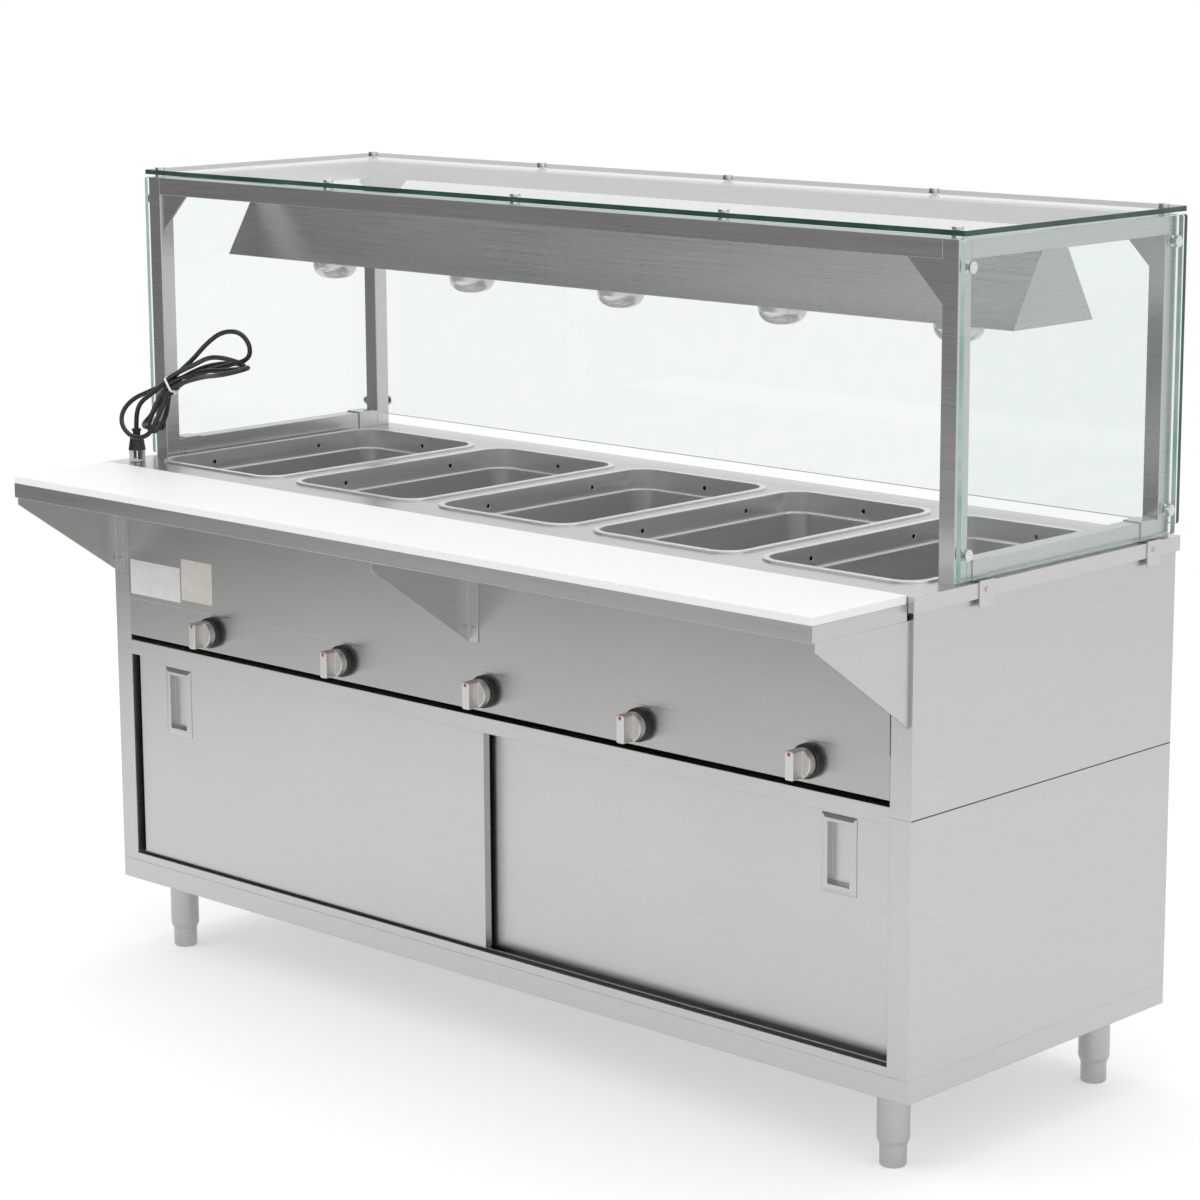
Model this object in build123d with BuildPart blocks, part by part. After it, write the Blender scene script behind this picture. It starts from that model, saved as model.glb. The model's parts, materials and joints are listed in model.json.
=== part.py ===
"""Five-well electric steam table with sliding-door cabinet, cutting board shelf and glass guard."""
import math
import os

from build123d import *

os.makedirs("parts", exist_ok=True)

# Cabinet, millimetres. X runs along the length, -Y is the operator's side, Z is up from the ground.
cabinet_length = 1829.0
cabinet_depth = 660.0
sheet = 1.5
ground_clearance = 132.0
band_height = 36.0
seam_height = 565.0
counter_height = 900.0
stile_width = 40.0
stile_return = 16.0
back_flange = 18.0

# Counter top
counter_lip = 24.0
end_overhang = 8.0
front_overhang = 8.0
back_overhang = 2.0
lip_gap = 0.5

# Wells
well_count = 5
well_pitch = 354.5
well_length = 508.0
well_width = 302.0
well_front_inset = 66.0
well_corner = 42.0
well_rim_width = 9.0
well_rim_rise = 3.0
well_ledge_drop = 34.0
well_ledge = 7.0
well_depth = 190.0
well_floor_radius = 12.0
well_clearance = 0.5
rim_hole_diameter = 8.0
rim_hole_drop = 17.0

# Heating elements
element_diameter = 9.0
element_lift = 28.0
element_wall_gap = 40.0
element_pitch = 60.0
gland_diameter = 22.0
gland_length = 10.0

# Controls
panel_fold = 657.0
strip_bottom = 590.0
strip_flange = 16.0
header_top = 580.0
knob_pitch = 342.0
knob_shift = 37.5
knob_height = 625.0
bezel_diameter = 54.0
bezel_thickness = 12.0
knob_skirt_diameter = 46.0
knob_skirt_height = 14.0
knob_bar_length = 45.0
knob_bar_width = 16.0
knob_bar_height = 21.5
knob_clearance = 0.5
stem_diameter = 8.0
stem_fit = 0.05
switch_width = 46.0
switch_depth = 34.0
stem_reach = 20.0

# Sliding doors
header_height = 26.0
track_lip = 14.0
door_thickness = 14.0
front_door_inset = 9.0
rear_door_inset = 31.0
door_overlap = 40.0
door_side_gap = 12.0
door_bottom_gap = 16.0
door_top_tuck = 9.0
glide_gap = 0.3
rail_thickness = 3.0
pull_width = 68.0
pull_height = 122.0
pull_flange = 11.0
pull_depth = 11.0
pull_proud = 2.5
pull_rim = 0.8
pull_bevel = 7.0
pull_from_edge = 119.5
pull_top_drop = 13.0
pull_clearance = 0.5

# Legs
leg_inset_x = 82.0
leg_inset_y = 71.0
leg_diameter = 51.0
leg_wall = 3.0
leg_end_height = 36.0
leg_taper = 8.0
leg_plate = 90.0
foot_diameter = 42.0
foot_fit = 0.05
foot_pad_height = 6.0
foot_pad_round = 4.0
foot_insert = 70.0
foot_bore = 20.0

# Front shelf and cutting board
shelf_reach = 220.0
shelf_end_inset = 5.5
board_thickness = 12.7
board_rise = 2.0
board_gap = 1.0
board_lift_gap = 0.3
shelf_lip = 25.0
shelf_return = 12.0
bracket_height = 160.0
bracket_plate = 2.0
bracket_flange = 24.0
bracket_rivet_diameter = 7.0
bracket_rivet_head = 1.5
bracket_rivet_inset = 22.0
bracket_nose = 14.0
bracket_nose_inset = 6.0

# Guard frame
tube = 30.0
tube_wall = 2.0
frame_end_inset = 5.5
frame_front_inset = 100.0
frame_depth = 547.0
frame_height = 503.0
gusset_leg = 68.0
gusset_thickness = 3.0
gusset_setback = 4.0

# Glass
glass_thickness = 8.0
glass_gap = 3.0
top_glass_gap = 5.0
end_glass_lift = 5.0
back_glass_lift = 19.0
glass_corner = 4.0
standoff_diameter = 18.0
standoff_cap = 4.0
standoff_stem = 8.0
standoff_clearance = 0.5
standoff_top_drop = 40.0
standoff_bottom_rise = 44.0
top_standoffs_per_row = 5
back_standoffs_per_row = 2

# Straps that hold the guard frame to the counter
strap_width = 36.0
strap_from_post = 12.0
strap_thickness = 2.0
strap_drop = 38.0
strap_screw_diameter = 9.0
strap_screw_head = 2.5

# Heat lamp hood
hood_end_inset = 23.0
hood_front_inset = 263.0
hood_bottom_width = 199.0
hood_top_width = 60.0
hood_height = 118.0
lamp_count = 5
lamp_pitch = 354.5
bulb_diameter = 80.0
bulb_drop = 40.0
bulb_length = 124.0
bulb_neck = 30.0
bulb_crown = 26.0
socket_diameter = 42.0
socket_height = 46.0
socket_wall = 4.0
bulb_fit = 0.3

# Power cord: real outside diameter, and the places of its exit, tie and plug
cord_diameter = 8.4
cord_arc_share = 0.45
tie_arc_share = 0.2
grommet_diameter = 16.0
grommet_flange = 3.0
grommet_nose = 10.0
tie_middle = (-805.67, 55.0, 1044.76)
tie_along = (0.8, 0.0, 0.6)
tie_across = (-0.6, 0.0, 0.8)
strand_pitch = 9.6
tie_clearance = 0.3
tie_thickness = 1.5
tie_width = 4.6
tie_head = 6.5
plug_x = -882.0
plug_inset = 33.0
plug_top = 960.0
plug_lip = 4.0
plug_lip_diameter = 17.0
plug_neck_diameter = 13.5
plug_neck_bottom = 944.0
plug_shoulder_diameter = 24.0
plug_base = 922.0
plug_base_diameter = 31.0
prong_length = 17.0
prong_width = 6.3
prong_thickness = 1.5
prong_gap = 12.7
ground_pin_diameter = 4.8
ground_pin_length = 19.5
ground_pin_offset = 10.3
cover_diameter = 29.0
cover_wall = 1.3
cover_floor = 1.2

# The cord's route: corners that its runs and arcs follow, with depth counted from the cabinet's front
# plane. It leaves the left post, is folded back and forth through the tie, and ends in the plug.
first_tie_corner = 5
last_tie_corner = 52
cord_route = [
    (-895.0, 90.0, 956.0),
    (-895.0, 66.0, 956.0),
    (-886.2, 50.6, 964.5),
    (-847.2, 38.7, 985.4),
    (-832.7, 48.9, 1010.2),
    (-811.1, 59.8, 1028.7),
    (-788.7, 59.8, 1045.5),
    (-724.3, 66.0, 1074.1),
    (-656.0, 68.2, 1091.5),
    (-607.6, 67.3, 1104.6),
    (-597.7, 61.1, 1131.8),
    (-615.5, 52.8, 1154.0),
    (-658.8, 49.7, 1150.3),
    (-702.7, 52.0, 1126.7),
    (-749.7, 56.0, 1091.4),
    (-800.2, 59.8, 1060.8),
    (-822.6, 59.8, 1044.0),
    (-872.0, 56.0, 1025.1),
    (-908.3, 46.9, 1009.3),
    (-922.5, 32.4, 985.5),
    (-906.3, 19.3, 961.5),
    (-858.0, 6.7, 947.0),
    (-819.3, 10.1, 955.2),
    (-809.2, 20.5, 983.7),
    (-815.6, 41.2, 1006.8),
    (-811.1, 50.2, 1028.7),
    (-788.7, 50.2, 1045.5),
    (-685.1, 25.0, 1071.5),
    (-582.1, -19.1, 1087.8),
    (-557.6, 0.1, 1095.2),
    (-563.3, 31.5, 1098.2),
    (-613.2, 51.5, 1088.7),
    (-668.9, 53.6, 1080.7),
    (-708.7, 46.2, 1077.8),
    (-794.5, 50.2, 1053.2),
    (-816.9, 50.2, 1036.4),
    (-823.6, 34.0, 1013.3),
    (-825.7, 18.0, 982.8),
    (-846.1, 32.1, 958.9),
    (-857.3, 58.6, 954.2),
    (-858.4, 80.1, 973.7),
    (-846.9, 78.9, 1003.3),
    (-816.9, 59.8, 1036.4),
    (-794.5, 59.8, 1053.2),
    (-749.0, 80.0, 1077.6),
    (-713.8, 92.0, 1085.7),
    (-672.5, 90.6, 1090.3),
    (-619.9, 70.3, 1089.6),
    (-611.3, 45.7, 1101.1),
    (-628.5, 24.8, 1109.8),
    (-667.5, 24.8, 1107.2),
    (-722.5, 40.0, 1088.3),
    (-800.2, 50.2, 1060.8),
    (-822.6, 50.2, 1044.0),
    (-847.5, 40.0, 1023.9),
    (-868.9, 32.5, 1008.0),
    (-882.0, 33.0, 984.0),
    (-882.0, 33.0, 960.0),
]

# Places worked out from the sizes above
front_y = (shelf_reach - cabinet_depth - back_overhang) / 2
back_y = front_y + cabinet_depth
half_length = cabinet_length / 2
shelf_half_length = half_length - shelf_end_inset
frame_half_length = half_length - frame_end_inset
hood_half_length = frame_half_length - hood_end_inset
deck_height = ground_clearance + band_height
middle_y = front_y + cabinet_depth / 2
stile_inner = half_length - stile_width
frame_front_y = front_y + frame_front_inset
frame_back_y = frame_front_y + frame_depth
frame_top = counter_height + frame_height
counter_half = half_length + end_overhang
counter_front = front_y - front_overhang
counter_back = back_y + back_overhang
counter_under = counter_height - sheet
well_middle_y = front_y + well_front_inset + well_length / 2


def centred(count, pitch, shift=0.0):
    """Positions of evenly spaced items about a middle."""
    return [shift + pitch * (i - (count - 1) / 2) for i in range(count)]


def save(part, name):
    """Label a finished piece and write its STEP file."""
    part.label = name
    export_step(part, f"parts/{name}.step")


def block(x0, x1, y0, y1, z0, z1, mode=Mode.ADD):
    """A plain block between two corners."""
    with Locations(((x0 + x1) / 2, (y0 + y1) / 2, (z0 + z1) / 2)):
        Box(x1 - x0, y1 - y0, z1 - z0, mode=mode)


def strip(points, thickness):
    """A sheet bent along a line: the profile that an extrusion needs."""
    with BuildLine():
        line = Polyline(*points)
    offset(line, amount=thickness, side=Side.LEFT)
    make_face()


# Base shelf: one sheet folded down on all four sides, with a hem at the bottom of the skirt
with BuildPart() as base_shelf:
    block(-half_length, half_length, front_y, back_y, ground_clearance, deck_height)
    bottom_face = base_shelf.faces().sort_by(Axis.Z)[0]
    offset(amount=-sheet, openings=bottom_face)
    with BuildSketch(Plane.XY.offset(ground_clearance)):
        with Locations((0, middle_y)):
            Rectangle(cabinet_length, cabinet_depth)
            Rectangle(cabinet_length - 2 * stile_return, cabinet_depth - 2 * stile_return, mode=Mode.SUBTRACT)
    extrude(amount=sheet)
save(base_shelf.part, "base_shelf")


def side_wall(side, bottom, top, name):
    """End panel with its front stile, the stile's inward return and a back flange."""
    outer = half_length
    with BuildPart() as wall:
        with BuildSketch(Plane.XY.offset(bottom)):
            with BuildLine():
                Polyline(
                    (side * outer, front_y),
                    (side * outer, back_y),
                    (side * (outer - back_flange), back_y),
                    (side * (outer - back_flange), back_y - sheet),
                    (side * (outer - sheet), back_y - sheet),
                    (side * (outer - sheet), front_y + sheet),
                    (side * (stile_inner + sheet), front_y + sheet),
                    (side * (stile_inner + sheet), front_y + stile_return),
                    (side * stile_inner, front_y + stile_return),
                    (side * stile_inner, front_y),
                    close=True,
                )
            make_face()
        extrude(amount=top - bottom)
    save(wall.part, name)


for side, word in ((-1, "left"), (1, "right")):
    side_wall(side, deck_height, seam_height, f"side_panel_{word}")
    side_wall(side, seam_height, counter_under, f"upper_side_{word}")

# Back panels sit against the front of the side panels' back flanges
for bottom, top, name in (
    (deck_height, seam_height, "back_panel"),
    (seam_height, counter_under, "upper_back_panel"),
):
    with BuildPart() as back:
        block(-half_length + sheet, half_length - sheet, back_y - 2 * sheet, back_y - sheet, bottom, top)
    save(back.part, name)

# Door header: a downward channel between the stiles that holds both doors' tops
header_bottom = header_top - header_height
track_depth = rear_door_inset + door_thickness + front_door_inset
door_gap_middle = (front_door_inset + door_thickness + rear_door_inset) / 2
with BuildPart() as door_header:
    block(-stile_inner, stile_inner, front_y, front_y + track_depth, header_top - sheet, header_top)
    for wall_y in (0, door_gap_middle - sheet / 2, track_depth - sheet):
        block(
            -stile_inner, stile_inner,
            front_y + wall_y, front_y + wall_y + sheet,
            header_bottom, header_top - sheet,
        )
save(door_header.part, "door_header")

# Door sill: an upward channel with one riding rail for each door
door_bottom = deck_height + door_bottom_gap
with BuildPart() as door_sill:
    block(-stile_inner, stile_inner, front_y, front_y + track_depth, deck_height, deck_height + sheet)
    for wall_y in (0, track_depth - sheet):
        block(
            -stile_inner, stile_inner,
            front_y + wall_y, front_y + wall_y + sheet,
            deck_height + sheet, deck_height + track_lip,
        )
    for inset in (front_door_inset, rear_door_inset):
        rail_y = front_y + inset + door_thickness / 2
        block(
            -stile_inner, stile_inner,
            rail_y - rail_thickness / 2, rail_y + rail_thickness / 2,
            deck_height + sheet, door_bottom - glide_gap,
        )
save(door_sill.part, "door_sill")

# Sliding doors: folded pans with a cut-out for the pull
door_top = header_bottom + door_top_tuck
door_outer = stile_inner - door_side_gap
pull_top = header_bottom - pull_top_drop
pull_middle_z = pull_top - pull_height / 2
pull_x = stile_inner - pull_from_edge
pocket_width = pull_width - 2 * (pull_flange + sheet)
pocket_height = pull_height - 2 * (pull_flange + sheet)
for side, inset, word in ((-1, front_door_inset, "left"), (1, rear_door_inset, "right")):
    door_face = front_y + inset
    near = -side * door_overlap / 2
    far = side * door_outer
    with BuildPart() as door:
        block(min(near, far), max(near, far), door_face, door_face + door_thickness, door_bottom, door_top)
        offset(amount=-sheet, openings=door.faces().sort_by(Axis.Y)[-1])
        block(
            side * pull_x - pull_width / 2 + pull_flange - pull_clearance,
            side * pull_x + pull_width / 2 - pull_flange + pull_clearance,
            door_face - sheet, door_face + 2 * sheet,
            pull_middle_z - pull_height / 2 + pull_flange - pull_clearance,
            pull_middle_z + pull_height / 2 - pull_flange + pull_clearance,
            mode=Mode.SUBTRACT,
        )
    save(door.part, f"door_{word}")

    # Recessed pull: a bevelled plate on the door's face round a scooped finger pocket
    with BuildPart() as pull:
        with BuildSketch(Plane.XZ.offset(-door_face)):
            with Locations((side * pull_x, pull_middle_z)):
                Rectangle(pull_width, pull_height)
        extrude(amount=pull_proud)
        chamfer(pull.faces().sort_by(Axis.Y)[0].edges(), length=pull_proud - pull_rim, length2=pull_bevel)
        with BuildSketch(Plane.XZ.offset(-door_face)):
            with Locations((side * pull_x, pull_middle_z)):
                Rectangle(pull_width - 2 * pull_flange, pull_height - 2 * pull_flange)
        extrude(amount=-pull_depth)
        block(
            side * pull_x - pocket_width / 2, side * pull_x + pocket_width / 2,
            door_face - pull_proud, door_face + pull_depth - sheet,
            pull_middle_z - pocket_height / 2, pull_middle_z + pocket_height / 2,
            mode=Mode.SUBTRACT,
        )
    save(pull.part, f"door_pull_{word}")

# Control panel: the tall face stands one sheet proud of the knob strip, which turns in at its foot
control_half = stile_inner - lip_gap
strip_y = front_y
knob_x = centred(well_count, knob_pitch, knob_shift)
with BuildPart() as control_panel:
    block(-control_half, control_half, front_y - sheet, front_y, panel_fold, counter_under)
    block(-control_half, control_half, front_y - sheet, front_y + sheet, panel_fold, panel_fold + sheet)
    block(-control_half, control_half, front_y, front_y + sheet, strip_bottom, panel_fold + sheet)
    block(-control_half, control_half, front_y, front_y + strip_flange, strip_bottom, strip_bottom + sheet)
    for x in knob_x:
        with Locations(Location((x, strip_y, knob_height), (90, 0, 0))):
            Cylinder(stem_diameter / 2 + knob_clearance, 4 * sheet, mode=Mode.SUBTRACT)
save(control_panel.part, "control_panel")

# Black bezel rings on the knob strip
with BuildPart() as bezels:
    for x in knob_x:
        with BuildSketch(Plane.XZ.offset(-strip_y)):
            with Locations((x, knob_height)):
                Circle(bezel_diameter / 2)
                Circle(stem_diameter / 2 + knob_clearance, mode=Mode.SUBTRACT)
        extrude(amount=bezel_thickness)
    fillet(
        bezels.faces().sort_by(Axis.Y)[0:well_count].edges().sort_by(SortBy.RADIUS)[-well_count:],
        radius=bezel_thickness / 4,
    )
save(bezels.part, "knob_bezels")

# Heat switches behind the knob strip, bored for the knobs' stems
switch_y = strip_y + sheet
with BuildPart() as switches:
    for x in knob_x:
        block(
            x - switch_width / 2, x + switch_width / 2,
            switch_y, switch_y + switch_depth,
            knob_height - switch_width / 2, knob_height + switch_width / 2,
        )
    for x in knob_x:
        with BuildSketch(Plane.XZ.offset(-switch_y)):
            with Locations((x, knob_height)):
                Circle(stem_diameter / 2 + stem_fit)
        extrude(amount=-stem_reach - knob_clearance, mode=Mode.SUBTRACT)
save(switches.part, "heat_switches")

# Knobs: round skirt, rounded bar grip and the stem that turns in the switch
skirt_y = strip_y - bezel_thickness - knob_clearance
for i, x in enumerate(knob_x):
    with BuildPart() as knob:
        with BuildSketch(Plane.XZ.offset(-skirt_y)):
            with Locations((x, knob_height)):
                Circle(knob_skirt_diameter / 2)
        extrude(amount=knob_skirt_height)
        fillet(knob.faces().sort_by(Axis.Y)[0].edges(), radius=sheet)
        with BuildSketch(Plane.XZ.offset(-skirt_y + knob_skirt_height)):
            with Locations((x, knob_height)):
                RectangleRounded(knob_bar_width, knob_bar_length, knob_bar_width / 5)
        extrude(amount=knob_bar_height)
        fillet(knob.faces().sort_by(Axis.Y)[0].edges(), radius=sheet)
        with BuildSketch(Plane.XZ.offset(-skirt_y)):
            with Locations((x, knob_height)):
                Circle(stem_diameter / 2)
        extrude(amount=-(switch_y + stem_reach - skirt_y))
    save(knob.part, f"knob_{i + 1}")

# Counter top: one sheet with five openings and its edges turned down
well_x = centred(well_count, well_pitch)
with BuildPart() as countertop:
    block(-counter_half, counter_half, counter_front, counter_back, counter_height - counter_lip, counter_height)
    fillet(countertop.edges().filter_by(Axis.Z), radius=2 * sheet)
    offset(amount=-sheet, openings=countertop.faces().sort_by(Axis.Z)[0])
    with BuildSketch(Plane.XY.offset(counter_height)):
        with Locations(*[(x, well_middle_y) for x in well_x]):
            RectangleRounded(well_width, well_length, well_corner)
    extrude(amount=-2 * sheet, mode=Mode.SUBTRACT)
save(countertop.part, "countertop")

# Wells: a raised rim on the counter, an upper band, a ledge and the deep pan below it
well_hole_rows = (-well_length / 4, well_length / 4)
for i, x in enumerate(well_x):
    outer_width = well_width - 2 * well_clearance
    outer_length = well_length - 2 * well_clearance
    outer_corner = well_corner - well_clearance
    ledge_z = counter_height - well_ledge_drop
    lower_width = outer_width - 2 * well_ledge
    lower_length = outer_length - 2 * well_ledge
    lower_corner = outer_corner - well_ledge
    with BuildPart() as well:
        with BuildSketch(Plane.XY.offset(counter_height)):
            with Locations((x, well_middle_y)):
                RectangleRounded(
                    outer_width + 2 * well_rim_width, outer_length + 2 * well_rim_width,
                    outer_corner + well_rim_width,
                )
        extrude(amount=well_rim_rise)
        with BuildSketch(Plane.XY.offset(counter_height)):
            with Locations((x, well_middle_y)):
                RectangleRounded(outer_width, outer_length, outer_corner)
        extrude(amount=-well_ledge_drop)
        with BuildSketch(Plane.XY.offset(ledge_z)):
            with Locations((x, well_middle_y)):
                RectangleRounded(lower_width, lower_length, lower_corner)
        extrude(amount=-(well_depth - well_ledge_drop))
        with BuildSketch(Plane.XY.offset(counter_height + well_rim_rise)):
            with Locations((x, well_middle_y)):
                RectangleRounded(outer_width - 2 * sheet, outer_length - 2 * sheet, outer_corner - sheet)
        extrude(amount=-(well_rim_rise + well_ledge_drop - sheet), mode=Mode.SUBTRACT)
        with BuildSketch(Plane.XY.offset(ledge_z + sheet)):
            with Locations((x, well_middle_y)):
                RectangleRounded(lower_width - 2 * sheet, lower_length - 2 * sheet, lower_corner - sheet)
        extrude(amount=-(well_depth - well_ledge_drop), mode=Mode.SUBTRACT)
        floors = well.faces().filter_by(Axis.Z).sort_by(Axis.Z)
        fillet(floors[1].edges(), radius=well_floor_radius - sheet)
        fillet(well.faces().sort_by(Axis.Z)[0].edges(), radius=well_floor_radius)
        for dy in well_hole_rows:
            with Locations(Location((x, well_middle_y + dy, counter_height - rim_hole_drop), (0, 90, 0))):
                Cylinder(rim_hole_diameter / 2, well_width * 2, mode=Mode.SUBTRACT)
        with Locations(Location((x, well_middle_y, counter_height - rim_hole_drop), (90, 0, 0))):
            Cylinder(rim_hole_diameter / 2, well_length * 2, mode=Mode.SUBTRACT)
        gland_z = counter_height - well_depth + element_lift
        for dx in (-element_pitch, element_pitch):
            with Locations(
                Location((x + dx, front_y + well_front_inset + well_ledge, gland_z), (90, 0, 0))
            ):
                Cylinder(element_diameter / 2 + well_clearance, 4 * well_ledge, mode=Mode.SUBTRACT)
    save(well.part, f"well_{i + 1}")

# Heating elements: a wide hairpin in each well, its ends through the front wall
with BuildPart() as elements:
    for x in well_x:
        element_z = counter_height - well_depth + element_lift
        wall_y = well_middle_y - well_length / 2 + well_clearance + well_ledge
        start_y = wall_y - gland_length - sheet
        far_y = well_middle_y + well_length / 2 - element_wall_gap
        with BuildLine():
            run = FilletPolyline(
                (x - element_pitch, start_y, element_z),
                (x - element_pitch, far_y, element_z),
                (x + element_pitch, far_y, element_z),
                (x + element_pitch, start_y, element_z),
                radius=element_pitch / 2,
            )
        with BuildSketch(Plane(run @ 0, z_dir=run % 0)):
            Circle(element_diameter / 2)
        sweep(path=run)
        for dx in (-element_pitch, element_pitch):
            with Locations(Location((x + dx, wall_y - gland_length / 2, element_z), (90, 0, 0))):
                Cylinder(gland_diameter / 2, gland_length)
save(elements.part, "heating_elements")

# Legs: a top plate and a socket tube with a tapered end
leg_x = half_length - leg_inset_x
leg_spots = [
    (-leg_x, front_y + leg_inset_y, "front_left"),
    (leg_x, front_y + leg_inset_y, "front_right"),
    (-leg_x, back_y - leg_inset_y, "back_left"),
    (leg_x, back_y - leg_inset_y, "back_right"),
]
leg_top = deck_height - sheet
with BuildPart() as legs:
    for x, y, word in leg_spots:
        block(x - leg_plate / 2, x + leg_plate / 2, y - leg_plate / 2, y + leg_plate / 2, leg_top - sheet, leg_top)
        with BuildSketch(Plane.XY.offset(leg_end_height + leg_taper)):
            with Locations((x, y)):
                Circle(leg_diameter / 2)
        extrude(amount=leg_top - sheet - leg_end_height - leg_taper)
        with BuildSketch(Plane.XY.offset(leg_end_height)):
            with Locations((x, y)):
                Circle(foot_diameter / 2 + leg_wall / 2)
        with BuildSketch(Plane.XY.offset(leg_end_height + leg_taper)):
            with Locations((x, y)):
                Circle(leg_diameter / 2)
        loft()
        with BuildSketch(Plane.XY.offset(leg_end_height)):
            with Locations((x, y)):
                Circle(foot_diameter / 2 + foot_fit)
        extrude(amount=leg_top - sheet - leg_wall - leg_end_height, mode=Mode.SUBTRACT)
save(legs.part, "leg_sockets")

# Adjustable feet: a sliding tube with a dark pad at the ground
for x, y, word in leg_spots:
    with BuildPart() as foot:
        with BuildSketch():
            with Locations((x, y)):
                Circle(foot_diameter / 2)
        extrude(amount=leg_end_height + foot_insert)
        fillet(foot.faces().sort_by(Axis.Z)[0].edges(), radius=foot_pad_round)
        with BuildSketch(Plane.XY.offset(leg_end_height + foot_insert)):
            with Locations((x, y)):
                Circle(foot_bore / 2)
        extrude(amount=-foot_insert, mode=Mode.SUBTRACT)
    save(foot.part, f"foot_{word}")

# Front shelf: a folded tray under the board
board_top = counter_height + board_rise
board_bottom = board_top - board_thickness
shelf_top = board_bottom - board_lift_gap
shelf_front = front_y - shelf_reach
shelf_back = counter_front - board_gap
with BuildPart() as shelf:
    block(-shelf_half_length, shelf_half_length, shelf_front, shelf_back, shelf_top - shelf_lip, shelf_top)
    offset(amount=-sheet, openings=shelf.faces().sort_by(Axis.Z)[0])
    shelf_middle_y = (shelf_front + shelf_back) / 2
    shelf_width = shelf_back - shelf_front
    with BuildSketch(Plane.XY.offset(shelf_top - shelf_lip)):
        with Locations((0, shelf_middle_y)):
            Rectangle(2 * shelf_half_length, shelf_width)
            Rectangle(
                2 * (shelf_half_length - shelf_return), shelf_width - 2 * shelf_return, mode=Mode.SUBTRACT
            )
    extrude(amount=sheet)
save(shelf.part, "tray_shelf")

with BuildPart() as board:
    block(-shelf_half_length, shelf_half_length, shelf_front, shelf_back, board_bottom, board_top)
    fillet(board.edges().filter_by(Axis.Z), radius=2 * sheet)
    chamfer(board.edges().group_by(Axis.Z)[-1], length=sheet / 2)
save(board.part, "cutting_board")

# Shelf brackets: a triangular web whose flanges turn one way, riveted to the front
bracket_top = shelf_top - shelf_lip
bracket_nose_y = shelf_front + bracket_nose_inset
bracket_foot = bracket_top - bracket_height
bracket_plans = (
    (-shelf_half_length, 1, front_y),
    (-bracket_plate / 2, 1, front_y - sheet),
    (shelf_half_length, -1, front_y),
)
with BuildPart() as brackets:
    for web_x, turn, seat_y in bracket_plans:
        web_low = min(web_x, web_x + turn * bracket_plate)
        with BuildSketch(Plane.YZ.offset(web_low)):
            with BuildLine():
                Polyline(
                    (seat_y, bracket_top),
                    (seat_y, bracket_foot),
                    (seat_y - bracket_plate, bracket_foot),
                    (bracket_nose_y, bracket_top - bracket_nose),
                    (bracket_nose_y, bracket_top),
                    close=True,
                )
            make_face()
        extrude(amount=bracket_plate)
        x0, x1 = sorted((web_x, web_x + turn * bracket_flange))
        block(x0, x1, seat_y - bracket_plate, seat_y, bracket_foot, bracket_top)
        block(x0, x1, bracket_nose_y, seat_y, bracket_top - bracket_plate, bracket_top)
        for z in (bracket_top - bracket_rivet_inset, bracket_foot + bracket_rivet_inset):
            with BuildSketch(Plane.XZ.offset(-seat_y + bracket_plate)):
                with Locations((web_x + turn * (bracket_plate + bracket_flange) / 2, z)):
                    Circle(bracket_rivet_diameter / 2)
            extrude(amount=bracket_rivet_head)
save(brackets.part, "shelf_brackets")

# Guard frame: four posts, the top rails and a bottom rail at each end, all square tube
post_inner = frame_half_length - tube
post_spots = [
    (-1, frame_front_y, "front_left"),
    (1, frame_front_y, "front_right"),
    (-1, frame_back_y - tube, "back_left"),
    (1, frame_back_y - tube, "back_right"),
]
for side, y, word in post_spots:
    x0, x1 = sorted((side * post_inner, side * frame_half_length))
    with BuildPart() as post:
        block(x0, x1, y, y + tube, counter_height, frame_top)
        fillet(post.edges().filter_by(Axis.Z), radius=sheet)
        block(
            x0 + tube_wall, x1 - tube_wall, y + tube_wall, y + tube - tube_wall,
            counter_height + tube_wall, frame_top - tube_wall,
            mode=Mode.SUBTRACT,
        )
    save(post.part, f"post_{word}")

rail_z = frame_top - tube
side_spans = [sorted((side * post_inner, side * frame_half_length)) for side in (-1, 1)]
with BuildPart() as top_rails:
    for y in (frame_front_y, frame_back_y - tube):
        block(-post_inner, post_inner, y, y + tube, rail_z, frame_top)
    for x0, x1 in side_spans:
        block(x0, x1, frame_front_y + tube, frame_back_y - tube, rail_z, frame_top)
    for y in (frame_front_y, frame_back_y - tube):
        block(
            -post_inner, post_inner, y + tube_wall, y + tube - tube_wall,
            rail_z + tube_wall, frame_top - tube_wall,
            mode=Mode.SUBTRACT,
        )
    for x0, x1 in side_spans:
        block(
            x0 + tube_wall, x1 - tube_wall, frame_front_y + tube, frame_back_y - tube,
            rail_z + tube_wall, frame_top - tube_wall,
            mode=Mode.SUBTRACT,
        )
save(top_rails.part, "top_rails")

with BuildPart() as bottom_rails:
    for x0, x1 in side_spans:
        block(x0, x1, frame_front_y + tube, frame_back_y - tube, counter_height, counter_height + tube)
        block(
            x0 + tube_wall, x1 - tube_wall, frame_front_y + tube, frame_back_y - tube,
            counter_height + tube_wall, counter_height + tube - tube_wall,
            mode=Mode.SUBTRACT,
        )
save(bottom_rails.part, "bottom_rails")

# Triangular gussets between the posts and the long top rails
with BuildPart() as gussets:
    for side in (-1, 1):
        for y in (
            frame_front_y + gusset_setback,
            frame_back_y - gusset_setback - gusset_thickness,
        ):
            with BuildSketch(Plane.XZ.offset(-y - gusset_thickness)):
                with BuildLine():
                    Polyline(
                        (side * post_inner, rail_z),
                        (side * (post_inner - gusset_leg), rail_z),
                        (side * post_inner, rail_z - gusset_leg),
                        close=True,
                    )
                make_face()
            extrude(amount=gusset_thickness)
save(gussets.part, "gusset_plates")

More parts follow.
